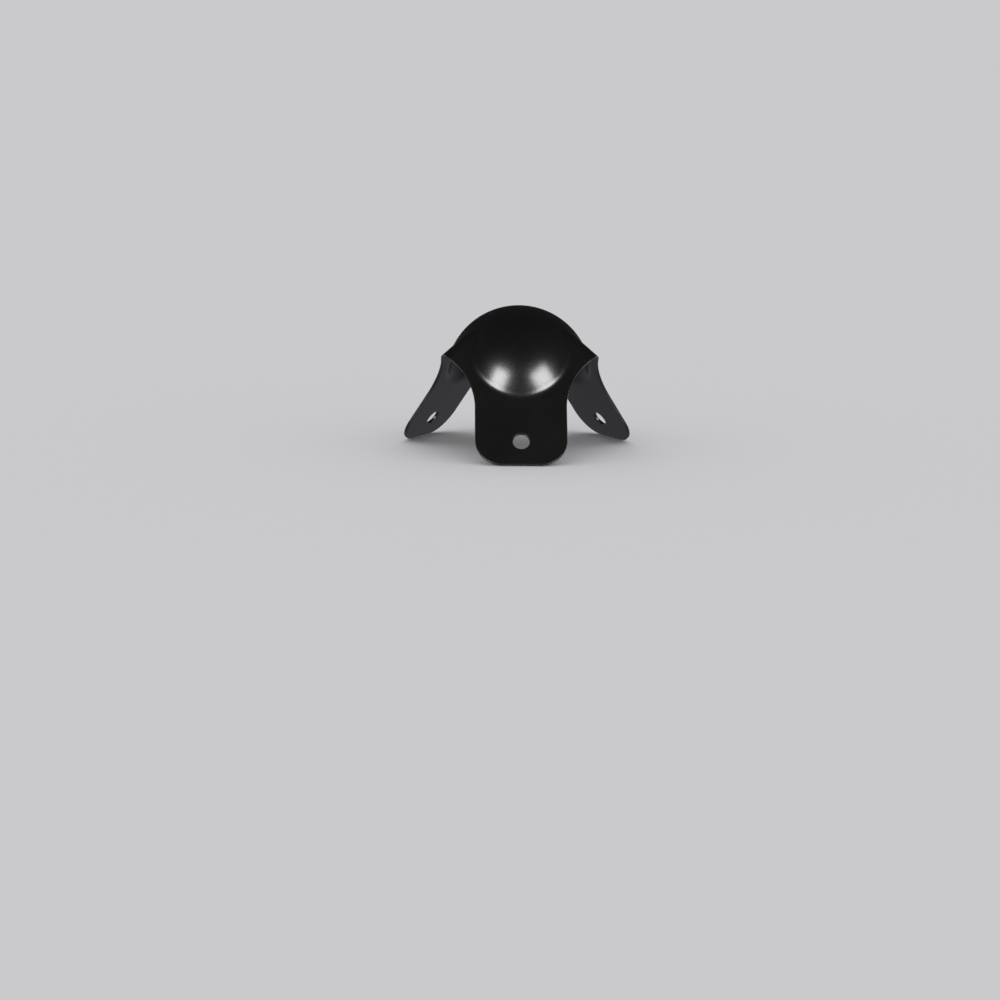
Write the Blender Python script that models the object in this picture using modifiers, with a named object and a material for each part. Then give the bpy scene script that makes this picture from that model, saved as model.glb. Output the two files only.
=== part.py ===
"""Steel ball corner for a cabinet or case, standing on its three leg tips.

One sheet of steel is pressed over a cube's corner: a ball covers the corner itself, a flat leg lies on each
of the three faces, and short rounded ridges run down the three edges between the legs. Metres, +Z up, with
the cube's body diagonal vertical and one leg towards -Y.
"""

import math

import bmesh
import bpy
from mathutils import Matrix, Vector

# Driving dimensions. Leg and ridge lengths run from the sharp corner where the legs' outer faces would meet.
SHEET = 0.0010
LEG_LENGTH = 0.0671
LEG_WIDTH = 0.0300
TIP_RADIUS = 0.0091
BALL_RADIUS = 0.0245
BALL_PROUD = 0.0058
ROOT_FILLET = 0.0032
RIDGE_LENGTH = 0.0369
RIDGE_RADIUS = 0.0045
RIDGE_START = 0.0260
RIDGE_RISE_RADIUS = 0.0125
RIM_FILLET = 0.0220
HOLE_RADIUS = 0.0027
HOLE_TO_TIP = 0.0083
PAINT = (0.012, 0.012, 0.011, 1)
PAINT_ROUGHNESS = 0.4

# A ridge's cut slopes halfway between across and down, so the rim turns by CUT_TURN where it meets the leg.
CUT_TURN = math.pi / 4
LEGS = 3
TURN = 2 * math.pi / LEGS
FACE_LEAN = math.atan(1 / math.sqrt(2))
ROOT_2 = math.sqrt(2)

# How finely the sheet is divided: rows follow the rim from the ball's top to the tip, columns cross the leg.
RIDGE_ROWS = 18
CUT_ROWS = 3
FILLET_ROWS = 6
LEG_ROWS = 2
TIP_ROWS = 7
COLUMNS = 11
COLUMN_CROWDING = 1.7
HOLE_SEGMENTS = 32
SOLVE_STEPS = 40
SOLVE_REACH = 2.0
CUTTER_LENGTH = 10 * SHEET
WELD = 0.00001

# Leg 0 lies on the face towards -Y: its outward normal, the way down it and the way across it.
NORMAL = Vector((0, -math.cos(FACE_LEAN), math.sin(FACE_LEAN)))
DOWN = Vector((0, -math.sin(FACE_LEAN), -math.cos(FACE_LEAN)))
ACROSS = Vector((1, 0, 0))
FACE_NORMALS = [Matrix.Rotation(leg * TURN, 3, "Z") @ NORMAL for leg in range(LEGS)]

# The sharp corner stands over the tips' inner edges at height 0, and the ball's centre is straight below it.
CORNER = Vector((0, 0, LEG_LENGTH * math.cos(FACE_LEAN) + SHEET * math.sin(FACE_LEAN)))
BALL_DEPTH = BALL_RADIUS - BALL_PROUD
BALL_CENTRE = CORNER - Vector((0, 0, BALL_DEPTH / math.sin(FACE_LEAN)))

# Within BLEND of both the ball and the block the two run together, as the root fillet does round the ball.
FILLET_REACH = math.sqrt((BALL_RADIUS + ROOT_FILLET) ** 2 - (BALL_DEPTH + ROOT_FILLET) ** 2)
BLEND = math.hypot(FILLET_REACH, BALL_DEPTH) - BALL_RADIUS


def new_collection(name, hidden=False):
    collection = bpy.data.collections.new(name)
    collection.hide_render = hidden
    bpy.context.scene.collection.children.link(collection)
    return collection


def new_object(name, bm, collection):
    mesh = bpy.data.meshes.new(name)
    bm.to_mesh(mesh)
    bm.free()
    obj = bpy.data.objects.new(name, mesh)
    collection.objects.link(obj)
    return obj


def painted_steel():
    """Black paint over pressed steel."""
    material = bpy.data.materials.new("black_painted_steel")
    material.use_nodes = True
    shader = material.node_tree.nodes["Principled BSDF"]
    shader.inputs["Base Color"].default_value = PAINT
    shader.inputs["Roughness"].default_value = PAINT_ROUGHNESS
    return material


def block_distance(point):
    """Distance to the cube's corner with rounded edges, whose ridges dip into the ball above RIDGE_START."""
    heights = [normal.dot(point - CORNER) for normal in FACE_NORMALS]
    over = Vector([max(height + RIDGE_RADIUS, 0) for height in heights])
    under = min(max(heights) + RIDGE_RADIUS, 0)
    along = -min(heights)
    dip = max(RIDGE_START - along, 0) ** 2 / (2 * RIDGE_RISE_RADIUS)
    return over.length + under - RIDGE_RADIUS + dip


def form_distance(point):
    """Distance to the outer face of the pressing: block and ball, run together by a fillet."""
    block = block_distance(point)
    ball = (point - BALL_CENTRE).length - BALL_RADIUS
    fillet = math.hypot(max(BLEND - block, 0), max(BLEND - ball, 0))
    return max(BLEND, min(block, ball)) - fillet


def pressed(across, down):
    """Moves a point of leg 0's sharp-cornered face onto the form, straight away from the corner's axis."""
    flat = CORNER + across * ACROSS + down * DOWN
    along_ridge = min((across + down) / ROOT_2, RIDGE_LENGTH)
    depth = max(along_ridge, BALL_DEPTH) / math.sin(FACE_LEAN)
    centre = CORNER - Vector((0, 0, depth))
    near, far = 0.0, SOLVE_REACH
    for _ in range(SOLVE_STEPS):
        middle = (near + far) / 2
        if form_distance(centre.lerp(flat, middle)) < 0:
            near = middle
        else:
            far = middle
    return centre.lerp(flat, near)


def arc(centre, radius, start, end, count):
    """Points from angle start to angle end, without the first. Angles turn from across towards down."""
    angles = [start + (end - start) * step / count for step in range(1, count + 1)]
    return [centre + radius * Vector((math.cos(angle), math.sin(angle))) for angle in angles]


def line(start, end, count):
    return [start.lerp(end, step / count) for step in range(1, count + 1)]


def rim():
    """The half leg's outer edge in (across, down), from the corner along the ridge and the leg to the tip."""
    half = LEG_WIDTH / 2
    corner = Vector((0, 0))
    ridge_end = Vector((1, 1)) * (RIDGE_LENGTH / ROOT_2)
    cut_meets_side = Vector((half, RIDGE_LENGTH * ROOT_2 - half))
    tangent = RIM_FILLET * math.tan(CUT_TURN / 2)
    cut_end = cut_meets_side + Vector((1, -1)) * (tangent / ROOT_2)
    side_start = cut_meets_side + Vector((0, tangent))
    tip_centre = Vector((half - TIP_RADIUS, LEG_LENGTH - TIP_RADIUS))
    points = [corner]
    points += line(corner, ridge_end, RIDGE_ROWS)
    points += line(ridge_end, cut_end, CUT_ROWS)
    fillet_centre = side_start + Vector((RIM_FILLET, 0))
    points += arc(fillet_centre, RIM_FILLET, math.pi + CUT_TURN, math.pi, FILLET_ROWS)
    points += line(side_start, tip_centre + Vector((TIP_RADIUS, 0)), LEG_ROWS)
    points += arc(tip_centre, TIP_RADIUS, 0, math.pi / 2, TIP_ROWS)
    return points


def row_starts(points):
    """Where each rim point's row leaves the leg's centre line: level with it on the straight leg."""
    shared = RIDGE_ROWS + CUT_ROWS + FILLET_ROWS
    lengths = [0.0]
    for before, after in zip(points, points[1 : shared + 1]):
        lengths.append(lengths[-1] + (after - before).length)
    scale = points[shared].y / lengths[-1]
    return [length * scale for length in lengths] + [point.y for point in points[shared + 1 :]]


def half_leg():
    """Half of leg 0 as an open sheet, from its centre line to its rim."""
    bm = bmesh.new()
    shares = [1 - (1 - column / COLUMNS) ** COLUMN_CROWDING for column in range(COLUMNS + 1)]
    points = rim()
    rows = []
    for start, end in zip(row_starts(points), points):
        flat = [Vector((0, start)).lerp(end, share) for share in shares]
        rows.append([bm.verts.new(pressed(*place)) for place in flat])
    for upper, lower in zip(rows, rows[1:]):
        for column in range(COLUMNS):
            bm.faces.new((upper[column], lower[column], lower[column + 1], upper[column + 1]))
    bmesh.ops.remove_doubles(bm, verts=bm.verts, dist=WELD)
    for vertex in bm.verts:
        if abs(vertex.co.x) < WELD:
            vertex.co.x = 0
    return bm


def hole_cutter(leg, collection):
    """A cylinder through one leg's screw hole."""
    bm = bmesh.new()
    bmesh.ops.create_cone(
        bm,
        cap_ends=True,
        segments=HOLE_SEGMENTS,
        radius1=HOLE_RADIUS,
        radius2=HOLE_RADIUS,
        depth=CUTTER_LENGTH,
    )
    place = CORNER + (LEG_LENGTH - HOLE_TO_TIP) * DOWN
    turn = NORMAL.to_track_quat("Z", "Y").to_matrix().to_4x4()
    bm.transform(Matrix.Rotation(leg * TURN, 4, "Z") @ Matrix.Translation(place) @ turn)
    cutter = new_object(f"hole_cutter_{leg}", bm, collection)
    cutter.hide_render = True
    cutter.display_type = "WIRE"
    return cutter


def corner_shell(parts, cutters):
    """The whole pressing: half a leg, mirrored, turned round three faces, thickened and drilled."""
    shell = new_object("corner_shell", half_leg(), parts)
    shell.data.materials.append(painted_steel())
    mirror = shell.modifiers.new("Other half", "MIRROR")
    mirror.merge_threshold = WELD
    turner = bpy.data.objects.new("leg_turner", None)
    turner.rotation_euler.z = TURN
    cutters.objects.link(turner)
    legs = shell.modifiers.new("Three legs", "ARRAY")
    legs.count = LEGS
    legs.use_relative_offset = False
    legs.use_object_offset = True
    legs.offset_object = turner
    weld = shell.modifiers.new("Joined at the ridges", "WELD")
    weld.merge_threshold = WELD
    sheet = shell.modifiers.new("Sheet", "SOLIDIFY")
    sheet.thickness = SHEET
    sheet.offset = -1
    sheet.use_even_offset = True
    for leg in range(LEGS):
        hole = shell.modifiers.new(f"Hole {leg}", "BOOLEAN")
        hole.operation = "DIFFERENCE"
        hole.solver = "EXACT"
        hole.object = hole_cutter(leg, cutters)
    shell.data.shade_smooth()
    return shell


def centre_footprint(shell, cutters):
    """Moves the corner, with its cutters, until the middle of its footprint is the origin."""
    bpy.context.view_layer.update()
    evaluated = shell.evaluated_get(bpy.context.evaluated_depsgraph_get())
    reach = [corner[1] for corner in evaluated.bound_box]
    middle = (min(reach) + max(reach)) / 2
    for obj in [shell, *cutters.objects]:
        obj.location.y -= middle


for leftover in list(bpy.data.objects):
    bpy.data.objects.remove(leftover, do_unlink=True)
parts = new_collection("ball_corner")
cutters = new_collection("cutters", hidden=True)
centre_footprint(corner_shell(parts, cutters), cutters)
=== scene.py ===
"""A steel ball corner for a cabinet or flight case, on a pale floor. Metres, +Z up, one leg to the front."""

import math

import bmesh
import bpy
import numpy as np
from mathutils import Matrix, Vector


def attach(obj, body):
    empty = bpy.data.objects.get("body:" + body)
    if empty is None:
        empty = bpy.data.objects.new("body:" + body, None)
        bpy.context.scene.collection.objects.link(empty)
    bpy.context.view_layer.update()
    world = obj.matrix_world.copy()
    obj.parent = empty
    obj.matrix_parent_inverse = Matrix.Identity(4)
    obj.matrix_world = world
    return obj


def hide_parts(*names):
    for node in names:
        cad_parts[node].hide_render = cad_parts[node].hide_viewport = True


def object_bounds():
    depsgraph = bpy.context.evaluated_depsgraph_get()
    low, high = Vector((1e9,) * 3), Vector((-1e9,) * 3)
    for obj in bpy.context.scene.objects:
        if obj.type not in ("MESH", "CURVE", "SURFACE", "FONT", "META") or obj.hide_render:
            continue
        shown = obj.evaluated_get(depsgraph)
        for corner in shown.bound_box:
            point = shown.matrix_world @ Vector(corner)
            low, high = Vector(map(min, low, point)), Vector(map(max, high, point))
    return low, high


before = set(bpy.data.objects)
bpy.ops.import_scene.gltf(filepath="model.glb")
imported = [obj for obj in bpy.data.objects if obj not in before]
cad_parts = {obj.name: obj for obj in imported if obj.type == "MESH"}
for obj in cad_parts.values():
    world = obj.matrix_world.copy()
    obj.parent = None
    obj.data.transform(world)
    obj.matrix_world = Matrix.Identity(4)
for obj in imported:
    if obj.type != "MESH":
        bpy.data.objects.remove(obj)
cad_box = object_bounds()


# ---- The pressing --------------------------------------------------------------------------------------
# One blank of 1 mm mild steel, deep-drawn so that a ball covers the cabinet's corner, a flat leg lies on each
# of its faces and a rounded ridge runs down each of its edges. The blank is trimmed and pierced in the same
# tool, and a screw or rivet through each leg holds it to the cabinet.

SHEET = 0.0010
LEG_LENGTH = 0.0671
LEG_WIDTH = 0.0300
TIP_RADIUS = 0.0091
BALL_RADIUS = 0.0245
BALL_PROUD = 0.0058
ROOT_FILLET = 0.0032
RIDGE_LENGTH = 0.0369
RIDGE_RADIUS = 0.0045
RIDGE_START = 0.0260
RIDGE_RISE_RADIUS = 0.0125
RIM_FILLET = 0.0220
HOLE_RADIUS = 0.0027
HOLE_TO_TIP = 0.0083
EDGE_ROUNDING = 0.00013
EDGE_ANGLE = math.radians(50)

# A ridge's cut slopes halfway between across and down, so the rim turns by CUT_TURN where it meets the leg.
CUT_TURN = math.pi / 4
LEGS = 3
TURN = 2 * math.pi / LEGS
FACE_LEAN = math.atan(1 / math.sqrt(2))
ROOT_2 = math.sqrt(2)

# Rows follow the rim from the ball's top, columns cross each half leg, and rings surround each hole.
EDGE_SEGMENTS = 3
RIDGE_ROWS = 84
CUT_ROWS = 14
FILLET_ROWS = 24
SIDE_ROWS = 14
TIP_ROWS = 26
END_ROWS = 10
COLUMNS = 46
RINGS = 9
SOLVE_STEPS = 34
SOLVE_REACH = 2.0
WELD = 0.00001

# The sharp corner where the three outer faces would meet stands straight above the middle of the legs' tips.
axis_y = cad_box[0][1] + LEG_LENGTH * math.sin(FACE_LEAN)
corner_z = cad_box[0][2] + LEG_LENGTH * math.cos(FACE_LEAN) + SHEET * math.sin(FACE_LEAN)
corner = np.array((0, axis_y, corner_z))
down = np.array((0, -math.sin(FACE_LEAN), -math.cos(FACE_LEAN)))
across = np.array((1.0, 0, 0))
face_normals = []
for leg in range(LEGS):
    sideways = math.cos(FACE_LEAN) * math.sin(leg * TURN)
    forwards = -math.cos(FACE_LEAN) * math.cos(leg * TURN)
    face_normals.append(np.array((sideways, forwards, math.sin(FACE_LEAN))))
BALL_DEPTH = BALL_RADIUS - BALL_PROUD
ball_centre = corner - np.array((0, 0, BALL_DEPTH / math.sin(FACE_LEAN)))

# Within BLEND of both the ball and the block the two run together, as the root fillet does round the ball.
FILLET_REACH = math.sqrt((BALL_RADIUS + ROOT_FILLET) ** 2 - (BALL_DEPTH + ROOT_FILLET) ** 2)
BLEND = math.hypot(FILLET_REACH, BALL_DEPTH) - BALL_RADIUS


def form_distance(points):
    """How far each point is outside the pressing's outer face: a rounded block and a ball run together."""
    heights = np.stack([(points - corner) @ normal for normal in face_normals], axis=1)
    over = np.linalg.norm(np.maximum(heights + RIDGE_RADIUS, 0), axis=1)
    under = np.minimum(heights.max(axis=1) + RIDGE_RADIUS, 0)
    dip = np.maximum(RIDGE_START + heights.min(axis=1), 0) ** 2 / (2 * RIDGE_RISE_RADIUS)
    block = over + under - RIDGE_RADIUS + dip
    ball = np.linalg.norm(points - ball_centre, axis=1) - BALL_RADIUS
    fillet = np.hypot(np.maximum(BLEND - block, 0), np.maximum(BLEND - ball, 0))
    return np.maximum(BLEND, np.minimum(block, ball)) - fillet


def pressed(places):
    """Presses the front leg's flat blank, given as (across, down) places, onto the form."""
    flat = corner + places[:, :1] * across + places[:, 1:] * down
    along_ridge = np.minimum(places.sum(axis=1) / ROOT_2, RIDGE_LENGTH)
    centre = np.tile(corner, (len(places), 1))
    centre[:, 2] -= np.maximum(along_ridge, BALL_DEPTH) / math.sin(FACE_LEAN)
    near = np.zeros((len(places), 1))
    far = np.full((len(places), 1), SOLVE_REACH)
    for _ in range(SOLVE_STEPS):
        middle = (near + far) / 2
        inside = form_distance(centre + middle * (flat - centre))[:, None] < 0
        near = np.where(inside, middle, near)
        far = np.where(inside, far, middle)
    return centre + near * (flat - centre)


def arc(centre, radius, start, end, count):
    """Places from angle start to angle end, without the first. Angles turn from across towards down."""
    angles = start + (end - start) * np.arange(1, count + 1) / count
    return centre + radius * np.stack([np.cos(angles), np.sin(angles)], axis=1)


def line(start, end, count):
    """Evenly spaced places from start to end, without the first."""
    return start + (np.asarray(end) - start) * (np.arange(1, count + 1) / count)[:, None]


# The blank's edge, from the ball's top down the ridge, across its cut, and round the fillet to the side.
half = LEG_WIDTH / 2
top = np.zeros(2)
ridge_end = np.full(2, RIDGE_LENGTH / ROOT_2)
cut_meets_side = np.array((half, RIDGE_LENGTH * ROOT_2 - half))
tangent = RIM_FILLET * math.tan(CUT_TURN / 2)
cut_end = cut_meets_side + np.array((1, -1)) * tangent / ROOT_2
side_start = cut_meets_side + np.array((0, tangent))
fillet_centre = side_start + np.array((RIM_FILLET, 0))
upper_rim = np.concatenate([
    top[None],
    line(top, ridge_end, RIDGE_ROWS),
    line(ridge_end, cut_end, CUT_ROWS),
    arc(fillet_centre, RIM_FILLET, math.pi + CUT_TURN, math.pi, FILLET_ROWS),
])
steps = np.linalg.norm(np.diff(upper_rim, axis=0), axis=1)
row_starts = np.concatenate([[0], np.cumsum(steps)])
row_starts *= side_start[1] / row_starts[-1]
shares = np.linspace(0, 1, COLUMNS + 1)[:, None]
upper_rows = []
for start, end in zip(row_starts, upper_rim):
    middle = np.array((0, start))
    upper_rows.append(middle + shares * (end - middle))
upper_places = np.concatenate(upper_rows)

# Below the fillet the leg is flat, and its blank is divided in rings that grow from the hole to the edge.
hole = np.array((0, LEG_LENGTH - HOLE_TO_TIP))
tip_centre = np.array((half - TIP_RADIUS, LEG_LENGTH - TIP_RADIUS))
lower_edge = np.concatenate([
    upper_places[-COLUMNS - 1:],
    line(side_start, tip_centre + np.array((TIP_RADIUS, 0)), SIDE_ROWS),
    arc(tip_centre, TIP_RADIUS, 0, math.pi / 2, TIP_ROWS),
    line(tip_centre + np.array((0, TIP_RADIUS)), np.array((0, LEG_LENGTH)), END_ROWS),
])
outward = lower_edge - hole
punched = hole + HOLE_RADIUS * outward / np.linalg.norm(outward, axis=1)[:, None]
ring_shares = np.linspace(0, 1, RINGS + 1)[:, None, None]
lower_places = (punched + ring_shares * (lower_edge - punched)).reshape(-1, 2)


def grid_faces(rows, columns, first):
    """Quads between neighbouring rows of points, where each row holds one more point than columns."""
    faces = []
    for row in range(rows):
        for column in range(columns):
            a = first + row * (columns + 1) + column
            faces.append((a, a + columns + 1, a + columns + 2, a + 1))
    return faces


# How near each point is to a cut edge, for the paint: 1 on the edge of the sheet or a hole, 0 past EDGE_BAND.
EDGE_BAND = 0.0016
rim_line = np.concatenate([upper_rim[RIDGE_ROWS:], lower_edge[COLUMNS + 1:]])
places = np.concatenate([upper_places, lower_places])
to_rim = np.full(len(places), np.inf)
for rim_place in rim_line:
    to_rim = np.minimum(to_rim, np.linalg.norm(places - rim_place, axis=1))
to_hole = np.linalg.norm(places - hole, axis=1) - HOLE_RADIUS
edge_nearness = np.clip(1 - np.minimum(to_rim, to_hole) / EDGE_BAND, 0, 1)

points = pressed(places)
points[np.abs(points[:, 0]) < WELD, 0] = 0
upper_faces = grid_faces(len(upper_rim) - 1, COLUMNS, 0)
lower_faces = grid_faces(RINGS, len(lower_edge) - 1, len(upper_places))
mesh = bpy.data.meshes.new("ball_corner_pressing")
mesh.from_pydata(points.tolist(), [], upper_faces + [face[::-1] for face in lower_faces])
mesh.attributes.new("edge_nearness", "FLOAT", "POINT").data.foreach_set("value", edge_nearness)
sheet = bmesh.new()
sheet.from_mesh(mesh)
bmesh.ops.remove_doubles(sheet, verts=sheet.verts, dist=WELD)
sheet.to_mesh(mesh)
sheet.free()
mesh.shade_smooth()
pressing = bpy.data.objects.new("ball_corner_pressing", mesh)
bpy.context.scene.collection.objects.link(pressing)

mirror = pressing.modifiers.new("Other half", "MIRROR")
mirror.merge_threshold = WELD
turner = bpy.data.objects.new("leg_turner", None)
turner.matrix_world = (
    Matrix.Translation((0, axis_y, 0)) @ Matrix.Rotation(TURN, 4, "Z") @ Matrix.Translation((0, -axis_y, 0))
)
bpy.context.scene.collection.objects.link(turner)
legs = pressing.modifiers.new("Three legs", "ARRAY")
legs.count = LEGS
legs.use_relative_offset = False
legs.use_object_offset = True
legs.offset_object = turner
joined = pressing.modifiers.new("Joined at the ridges", "WELD")
joined.merge_threshold = WELD
thickness = pressing.modifiers.new("Sheet", "SOLIDIFY")
thickness.thickness = SHEET
thickness.offset = -1
thickness.use_even_offset = True
rounding = pressing.modifiers.new("Trimmed edges", "BEVEL")
rounding.width = EDGE_ROUNDING
rounding.segments = EDGE_SEGMENTS
rounding.limit_method = "ANGLE"
rounding.angle_limit = EDGE_ANGLE
flats = pressing.modifiers.new("Flat faces", "WEIGHTED_NORMAL")
flats.keep_sharp = True


def linear(srgb):
    """A hex colour as screens show it, turned to the linear colour that shaders take."""
    channels = [int(srgb[start:start + 2], 16) / 255 for start in (1, 3, 5)]
    return [c / 12.92 if c <= 0.04045 else ((c + 0.055) / 1.055) ** 2.4 for c in channels] + [1]


def add_node(tree, kind, sockets, **settings):
    """Adds one node with its settings. Each socket gets a value, or a link where it is given an output."""
    node = tree.nodes.new(kind)
    for name, value in settings.items():
        setattr(node, name, value)
    for socket, value in sockets.items():
        if isinstance(value, bpy.types.NodeSocket):
            tree.links.new(value, node.inputs[socket])
        else:
            node.inputs[socket].default_value = value
    return node


# Black stoving enamel, sprayed on and baked: a smooth satin film with the faint ripple of orange peel, whose
# fine grain breaks up the rim of each highlight, slightly duller where hands have rubbed it, and thinner and
# greyer where it pulls back from cut edges. The real grain is under 0.1 mm, and is drawn coarser to show.
GRAIN = 0.00045
GRAIN_HEIGHT = 0.0000012
GRAIN_ROUGHNESS = (0.215, 0.275)
ORANGE_PEEL = 0.0022
PEEL_HEIGHT = 0.000008
HANDLING = 0.0140
HANDLING_ROUGHNESS = (-0.012, 0.015)
THIN_FILM_START = 0.7
THIN_FILM_MOST = 0.2
THIN_FILM_ROUGHNESS = 0.3
FILM = "#060606"
HANDLED_FILM = "#090908"
THIN_FILM = "#1c1b1a"
ENAMEL_IOR = 1.48

# The sockets that mix two colours, which a Mix node knows by number.
FACTOR = 0
FIRST = 6
SECOND = 7
MIXED = 2

enamel = bpy.data.materials.new("black_stoving_enamel_sprayed_and_baked")
enamel.use_nodes = True
tree = enamel.node_tree
shader = tree.nodes["Principled BSDF"]
coordinates = add_node(tree, "ShaderNodeTexCoord", {}).outputs["Object"]
grain = add_node(
    tree, "ShaderNodeTexNoise", {"Vector": coordinates, "Scale": 1 / GRAIN, "Detail": 2.0, "Roughness": 0.6}
)
peel = add_node(
    tree, "ShaderNodeTexNoise", {"Vector": coordinates, "Scale": 1 / ORANGE_PEEL, "Detail": 1.0}
)
handling = add_node(
    tree, "ShaderNodeTexNoise",
    {"Vector": coordinates, "Scale": 1 / HANDLING, "Detail": 4.0, "Distortion": 0.6},
)
edge = add_node(tree, "ShaderNodeAttribute", {}, attribute_name="edge_nearness")
thin_film = add_node(
    tree, "ShaderNodeMapRange",
    {
        "Value": edge.outputs["Fac"],
        "From Min": THIN_FILM_START, "From Max": 1.0,
        "To Min": 0.0, "To Max": THIN_FILM_MOST,
    },
    interpolation_type="SMOOTHSTEP",
)
film_colour = add_node(
    tree, "ShaderNodeMix",
    {FACTOR: handling.outputs["Fac"], FIRST: linear(FILM), SECOND: linear(HANDLED_FILM)},
    data_type="RGBA",
)
colour = add_node(
    tree, "ShaderNodeMix",
    {FACTOR: thin_film.outputs["Result"], FIRST: film_colour.outputs[MIXED], SECOND: linear(THIN_FILM)},
    data_type="RGBA",
)
tree.links.new(colour.outputs[MIXED], shader.inputs["Base Color"])
grain_gloss = add_node(
    tree, "ShaderNodeMapRange",
    {
        "Value": grain.outputs["Fac"],
        "From Min": 0.3, "From Max": 0.7,
        "To Min": GRAIN_ROUGHNESS[0], "To Max": GRAIN_ROUGHNESS[1],
    },
)
rubbed_gloss = add_node(
    tree, "ShaderNodeMapRange",
    {
        "Value": handling.outputs["Fac"],
        "From Min": 0.35, "From Max": 0.7,
        "To Min": HANDLING_ROUGHNESS[0], "To Max": HANDLING_ROUGHNESS[1],
    },
)
film_gloss = add_node(
    tree, "ShaderNodeMath",
    {0: grain_gloss.outputs["Result"], 1: rubbed_gloss.outputs["Result"]},
    operation="ADD",
)
gloss = add_node(
    tree, "ShaderNodeMath",
    {0: thin_film.outputs["Result"], 1: THIN_FILM_ROUGHNESS, 2: film_gloss.outputs["Value"]},
    operation="MULTIPLY_ADD",
)
tree.links.new(gloss.outputs["Value"], shader.inputs["Roughness"])
peel_bump = add_node(
    tree, "ShaderNodeBump", {"Height": peel.outputs["Fac"], "Strength": 1.0, "Distance": PEEL_HEIGHT}
)
grain_bump = add_node(
    tree, "ShaderNodeBump",
    {
        "Height": grain.outputs["Fac"], "Normal": peel_bump.outputs["Normal"],
        "Strength": 1.0, "Distance": GRAIN_HEIGHT,
    },
)
tree.links.new(grain_bump.outputs["Normal"], shader.inputs["Normal"])
shader.inputs["Metallic"].default_value = 0.0
shader.inputs["IOR"].default_value = ENAMEL_IOR
mesh.materials.append(enamel)

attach(pressing, "root")
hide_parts("corner_shell")


# ---- The floor -----------------------------------------------------------------------------------------
# One sheet of plain pale matt paper, wide enough to reach the horizon from every side. It is left out of the
# enamel's gloss, where the room's lower half stands for it, and out of the soft boxes' light.

PAPER = "#e2e2e3"
PAPER_ROUGHNESS = 0.9
FLOOR_RADIUS = 40.0
FLOOR_SEGMENTS = 96
paper = bpy.data.materials.new("matt_pale_paper")
paper.use_nodes = True
paper_shader = paper.node_tree.nodes["Principled BSDF"]
paper_shader.inputs["Base Color"].default_value = linear(PAPER)
paper_shader.inputs["Roughness"].default_value = PAPER_ROUGHNESS
paper_shader.inputs["Specular IOR Level"].default_value = 0.0
disc = bmesh.new()
bmesh.ops.create_circle(disc, cap_ends=True, segments=FLOOR_SEGMENTS, radius=FLOOR_RADIUS)
floor_mesh = bpy.data.meshes.new("paper_floor")
disc.to_mesh(floor_mesh)
disc.free()
floor_mesh.materials.append(paper)
paper_floor = bpy.data.objects.new("paper_floor", floor_mesh)
paper_floor.location = (0, axis_y, cad_box[0][2])
paper_floor.visible_glossy = False

# The front soft boxes reach below the paper's level, and it doesn't shade their lower edges.
paper_floor.visible_shadow = False
bpy.context.scene.collection.objects.link(paper_floor)


# ---- The light -----------------------------------------------------------------------------------------
# Two soft boxes in front and two weaker ones at the rear give the ball its highlights, and a wide one behind
# only lightens the paint. They light the pressing alone. The room lights paper and paint evenly, and in the
# gloss it is dark above the horizon and grey below it.

BOX_DISTANCE = 1.6
lit = bpy.data.collections.new("lit_by_soft_boxes")
lit.objects.link(pressing)
aim = Vector(ball_centre.tolist())


def soft_box(name, azimuth, elevation, roll, width, height, brightness):
    """A soft box aimed at the ball. Angles and sizes are in degrees as the ball sees them."""
    light = bpy.data.lights.new(name, "AREA")
    light.shape = "RECTANGLE"
    light.size = 2 * BOX_DISTANCE * math.tan(math.radians(width / 2))
    light.size_y = 2 * BOX_DISTANCE * math.tan(math.radians(height / 2))
    light.energy = brightness * math.pi * light.size * light.size_y
    turn = Matrix.Rotation(math.radians(azimuth), 4, "Z")
    turn @= Matrix.Rotation(math.radians(90 - elevation), 4, "X")
    turn @= Matrix.Rotation(math.radians(roll), 4, "Z")
    box = bpy.data.objects.new(name, light)
    box.matrix_world = Matrix.Translation(aim) @ turn @ Matrix.Translation((0, 0, BOX_DISTANCE))
    box.visible_camera = False
    box.light_linking.receiver_collection = lit
    bpy.context.scene.collection.objects.link(box)
    return box


soft_box("soft_box_left", azimuth=-32, elevation=7, roll=-18, width=23, height=28, brightness=23.0)
soft_box("soft_box_right", azimuth=36, elevation=8, roll=30, width=29, height=28, brightness=21.0)
soft_box("soft_box_rear_left", azimuth=-118, elevation=9, roll=0, width=34, height=14, brightness=9.0)
soft_box("soft_box_rear_right", azimuth=118, elevation=9, roll=0, width=34, height=14, brightness=9.0)
back = soft_box("soft_box_back", azimuth=180, elevation=20, roll=0, width=60, height=40, brightness=45.0)
back.visible_glossy = False

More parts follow.
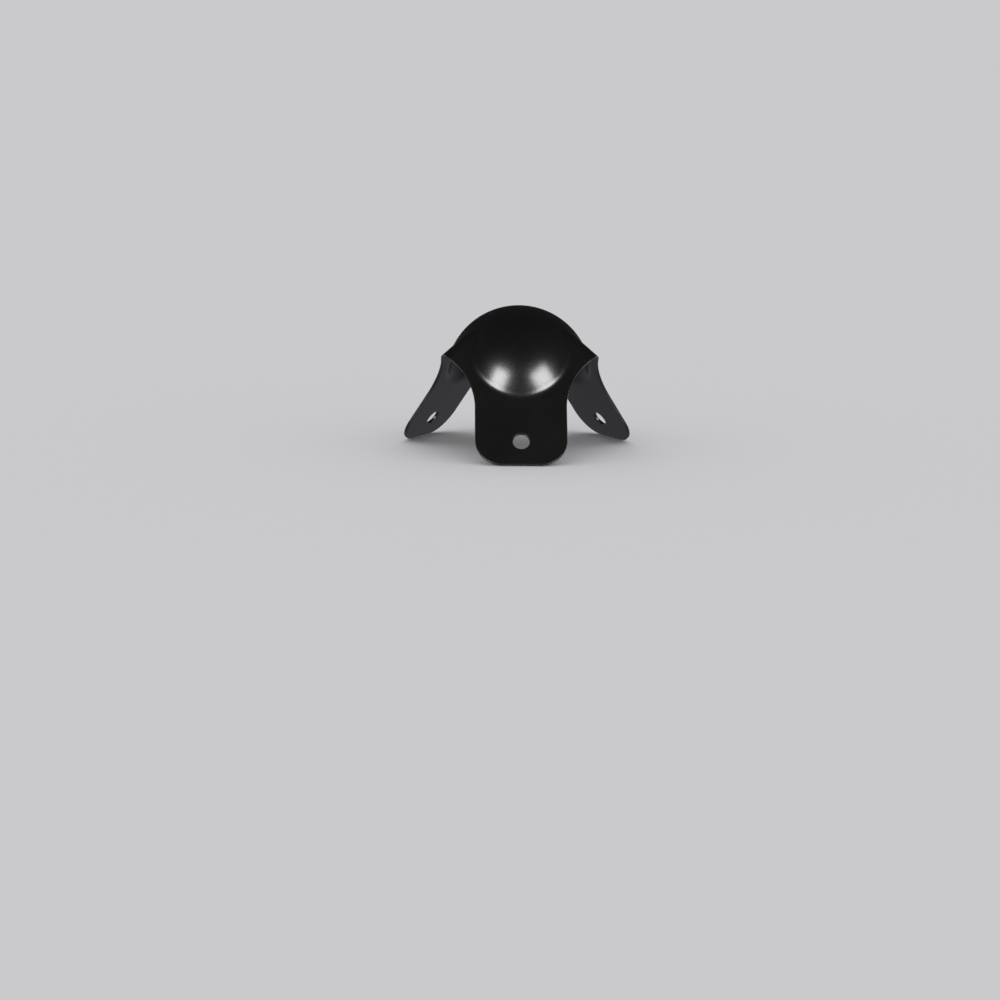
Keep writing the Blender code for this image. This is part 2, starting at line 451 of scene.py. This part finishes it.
CEILING = "#e4e4e6"
GLOSS_ABOVE = "#1c1e22"
GLOSS_BELOW = "#7c7a80"
HORIZON_BLUR = 0.05
world = bpy.data.worlds.new("studio")
bpy.context.scene.world = world
world.use_nodes = True
sky = world.node_tree
world.cycles.sampling_method = "NONE"
background = sky.nodes["Background"]
path = add_node(sky, "ShaderNodeLightPath", {})
direction = add_node(sky, "ShaderNodeTexCoord", {}).outputs["Generated"]
rise = add_node(sky, "ShaderNodeSeparateXYZ", {"Vector": direction}).outputs["Z"]
above = add_node(
    sky, "ShaderNodeMapRange", {"Value": rise, "From Min": -HORIZON_BLUR, "From Max": HORIZON_BLUR}
)
reflected = add_node(
    sky, "ShaderNodeMix",
    {FACTOR: above.outputs["Result"], FIRST: linear(GLOSS_BELOW), SECOND: linear(GLOSS_ABOVE)},
    data_type="RGBA",
)
far_floor = [light * paint for light, paint in zip(linear(CEILING), linear(PAPER))]
room = add_node(
    sky, "ShaderNodeMix",
    {FACTOR: path.outputs["Is Camera Ray"], FIRST: linear(CEILING), SECOND: far_floor},
    data_type="RGBA",
)
seen = add_node(
    sky, "ShaderNodeMix",
    {FACTOR: path.outputs["Is Glossy Ray"], FIRST: room.outputs[MIXED], SECOND: reflected.outputs[MIXED]},
    data_type="RGBA",
)
sky.links.new(seen.outputs[MIXED], background.inputs["Color"])


# ---- The camera ----------------------------------------------------------------------------------------
# A 90 mm lens about 0.84 m from the ball, 8 degrees above it and just left of the front leg. It points below
# the part, so the part stands above the middle of the frame.

SENSOR_WIDTH = 36.0
FOCAL_LENGTH = 90.0
NEAREST = 0.01
FARTHEST = 200.0
CAMERA_AZIMUTH = math.radians(-1.974)
CAMERA_ELEVATION = math.radians(8.201)
CAMERA_DISTANCE = 0.83876
HEADING = math.radians(-1.578)
PITCH = math.radians(10.989)
ROLL = math.radians(0.636)
lens = bpy.data.cameras.new("camera")
lens.sensor_width = SENSOR_WIDTH
lens.lens = FOCAL_LENGTH
lens.clip_start = NEAREST
lens.clip_end = FARTHEST
camera = bpy.data.objects.new("camera", lens)
towards_camera = Vector((
    math.sin(CAMERA_AZIMUTH) * math.cos(CAMERA_ELEVATION),
    -math.cos(CAMERA_AZIMUTH) * math.cos(CAMERA_ELEVATION),
    math.sin(CAMERA_ELEVATION),
))
camera.matrix_world = (
    Matrix.Translation(aim + CAMERA_DISTANCE * towards_camera)
    @ Matrix.Rotation(HEADING, 4, "Z")
    @ Matrix.Rotation(math.pi / 2 - PITCH, 4, "X")
    @ Matrix.Rotation(ROLL, 4, "Z")
)
bpy.context.scene.collection.objects.link(camera)
bpy.context.scene.camera = camera
bpy.context.scene.view_settings.view_transform = "Standard"
